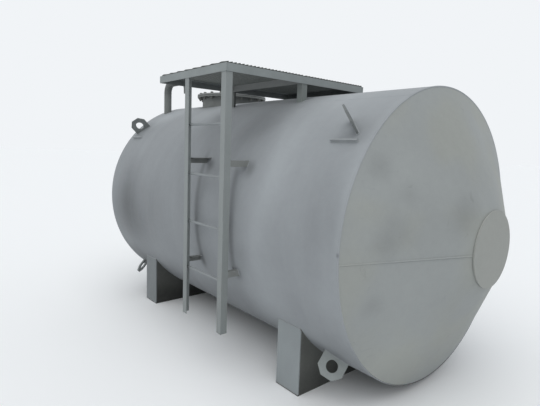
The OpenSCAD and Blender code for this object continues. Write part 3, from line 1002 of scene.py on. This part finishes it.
def makeDeck(node, look):
    low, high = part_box(node)
    middle = (low + high) / 2
    rows = round((high.y - low.y) / look["shortWay"])
    lean = look["strandHeight"] * math.sin(look["tilt"])
    depth = high.y - low.y - lean  # so that the outer strands stay on the frame
    values = {"Width": high.x - low.x, "Depth": depth, "Columns": look["columns"], "Rows": rows,
              "Strand Height": look["strandHeight"], "Strand Thickness": look["strandThickness"],
              "Tilt": look["tilt"], "Knot Tilt": look["knotTilt"], "Steps": look["steps"],
              "Paint": paints["deckPaint"]}
    lift = 0.5 * look["strandHeight"] * math.cos(look["knotTilt"])
    place = (middle.x, middle.y, low.z + lift)
    piece = runTree(node + "_mesh", bpy.data.meshes.new(node), deckTree, values, place)
    keepPiece(piece, (node,))


for deckNode in ("front_deck", "back_deck"):
    makeDeck(deckNode, deck)


# Bolts round the hatch: head and washer on the cover, nut and thread end under the flange

bolts = {
    "count": 20,
    "circleShare": 0.5,  # of the way from the neck to the rim
    "across": 0.024,
    "headHeight": 0.010,
    "nutHeight": 0.013,
    "washerRadius": 0.015,
    "washerHeight": 0.003,
    "threadRadius": 0.008,
    "threadEnd": 0.010,
    "roundSides": 20,
    "threadSides": 12,
    "seed": 5,
}


def makeBoltTree(look):
    tree, given = startTree("flangeBolts", [
        ("Count", "Int"), ("Circle Radius", "Float"), ("Hexagon Radius", "Float"),
        ("Head Height", "Float"), ("Nut Height", "Float"), ("Washer Radius", "Float"),
        ("Washer Height", "Float"), ("Thread Radius", "Float"), ("Thread End", "Float"),
        ("Grip", "Float"), ("Seed", "Int"), ("Paint", "Material")])
    circle = addNode(tree, "GeometryNodeMeshCircle", {
        "Vertices": given["Count"], "Radius": given["Circle Radius"]})
    bolt = tree.nodes.new("GeometryNodeJoinGeometry")

    def stack(sides, radius, height, base):  # a prism from base upwards
        solid = addNode(tree, "GeometryNodeMeshCylinder", {
            "Vertices": sides, "Radius": radius, "Depth": height})
        middle = mathNode(tree, "ADD", base, mathNode(tree, "MULTIPLY", height, 0.5))
        place = addNode(tree, "ShaderNodeCombineXYZ", {"Z": middle})
        moved = addNode(tree, "GeometryNodeTransform", {
            "Geometry": solid.outputs["Mesh"], "Translation": place.outputs[0]})
        tree.links.new(moved.outputs[0], bolt.inputs[0])

    washer, down = given["Washer Height"], mathNode(tree, "MULTIPLY", given["Grip"], -1.0)
    underWasher = mathNode(tree, "SUBTRACT", down, washer)
    underNut = mathNode(tree, "SUBTRACT", underWasher, given["Nut Height"])
    stack(look["roundSides"], given["Washer Radius"], washer, 0.0)
    stack(6, given["Hexagon Radius"], given["Head Height"], washer)
    stack(look["roundSides"], given["Washer Radius"], washer, underWasher)
    stack(6, given["Hexagon Radius"], given["Nut Height"], underNut)
    threadEnd = given["Thread End"]
    underThread = mathNode(tree, "SUBTRACT", underNut, threadEnd)
    stack(look["threadSides"], given["Thread Radius"], threadEnd, underThread)
    angle = randomValue(tree, given["Seed"], 0.0, math.pi / 3)
    rotation = addNode(tree, "ShaderNodeCombineXYZ", {"Z": angle})
    placed = addNode(tree, "GeometryNodeInstanceOnPoints", {
        "Points": circle.outputs["Mesh"], "Instance": bolt.outputs[0], "Rotation": rotation.outputs[0]})
    endTree(tree, placed.outputs[0], given["Paint"])
    return tree


def makeBolts(look):
    coverLow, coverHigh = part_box("hatch_cover")
    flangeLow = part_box("hatch_flange")[0]
    neckLow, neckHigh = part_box("hatch_neck")
    rim, neck = (coverHigh.x - coverLow.x) / 2, (neckHigh.x - neckLow.x) / 2
    values = {
        "Count": look["count"], "Circle Radius": neck + look["circleShare"] * (rim - neck),
        "Hexagon Radius": look["across"] / math.sqrt(3), "Head Height": look["headHeight"],
        "Nut Height": look["nutHeight"], "Washer Radius": look["washerRadius"],
        "Washer Height": look["washerHeight"], "Thread Radius": look["threadRadius"],
        "Thread End": look["threadEnd"], "Grip": coverHigh.z - flangeLow.z, "Seed": look["seed"],
        "Paint": paints["boltPaint"]}
    middle = (coverLow + coverHigh) / 2
    place = (middle.x, middle.y, coverHigh.z)
    piece = runTree("hatch_bolts", bpy.data.meshes.new("bolts"), makeBoltTree(look), values, place)
    keepPiece(piece)


makeBolts(bolts)


# Gasket between flange and cover, a little proud of their rims

gasket = {"height": 0.003, "proud": 0.0015, "sides": 96}


def makeGasket(look):
    coverLow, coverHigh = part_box("hatch_cover")
    middle = (coverLow + coverHigh) / 2
    neckLow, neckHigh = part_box("hatch_neck")
    outer, inner = (coverHigh.x - coverLow.x) / 2 + look["proud"], (neckHigh.x - neckLow.x) / 2
    count = look["sides"]
    section = ((outer, -0.5), (outer, 0.5), (inner, 0.5), (inner, -0.5))
    points = []
    for radius, rise in section:
        height = coverLow.z + rise * look["height"]
        points += flatRing((middle.x, middle.y, height), radius, count)[:-1]
    faces = []
    for ring in range(len(section)):
        start, after = ring * count, (ring + 1) % len(section) * count
        for i in range(count):
            j = (i + 1) % count
            faces.append((start + i, start + j, after + j, after + i))
    mesh = bpy.data.meshes.new("hatch_gasket")
    mesh.from_pydata(points, [], faces)
    mesh.materials.append(paints["rubber"])
    piece = bpy.data.objects.new("hatch_gasket", mesh)
    bpy.context.scene.collection.objects.link(piece)
    keepPiece(piece)


makeGasket(gasket)
